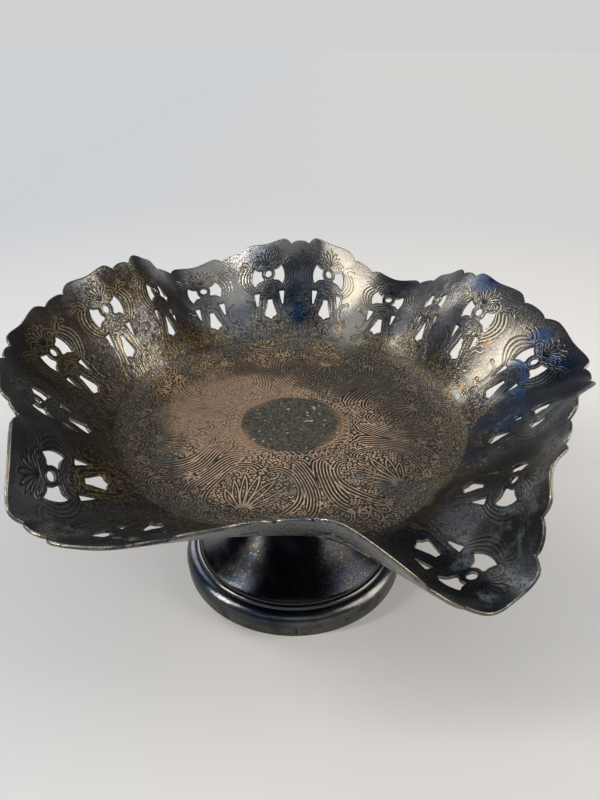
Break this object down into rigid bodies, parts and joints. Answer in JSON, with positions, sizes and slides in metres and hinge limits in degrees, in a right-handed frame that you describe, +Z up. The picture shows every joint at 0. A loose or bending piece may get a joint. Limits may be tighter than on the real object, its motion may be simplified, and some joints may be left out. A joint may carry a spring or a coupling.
{
  "type": "footed dish",
  "caption": "Low footed dish with a ruffled, scalloped and pierced wall, a flat chased floor and a hollow spun trumpet foot",
  "frame": {"origin": "on the table, under the middle of the dish's uneven outline; the foot's axis stands 1.9 mm toward -X and 1.95 mm toward +Y of it", "axes": "+Z up, along the foot's axis, +Y toward the back of the dish as pictured, +X to its right"},
  "size_m": [0.211, 0.2184, 0.1222],
  "materials": {
    "dish_plate": "tarnished silver plate, worn to copper brown on the floor",
    "foot_plate": "polished silver plate with blue-black tarnish",
    "solder": "dull soft solder"
  },
  "bodies": {
    "root": {"bowl": "dish_plate", "solder_joint": "solder", "pedestal": "foot_plate", "foot_bead": "foot_plate", "foot_band": "foot_plate"}
  },
  "joints": []
}
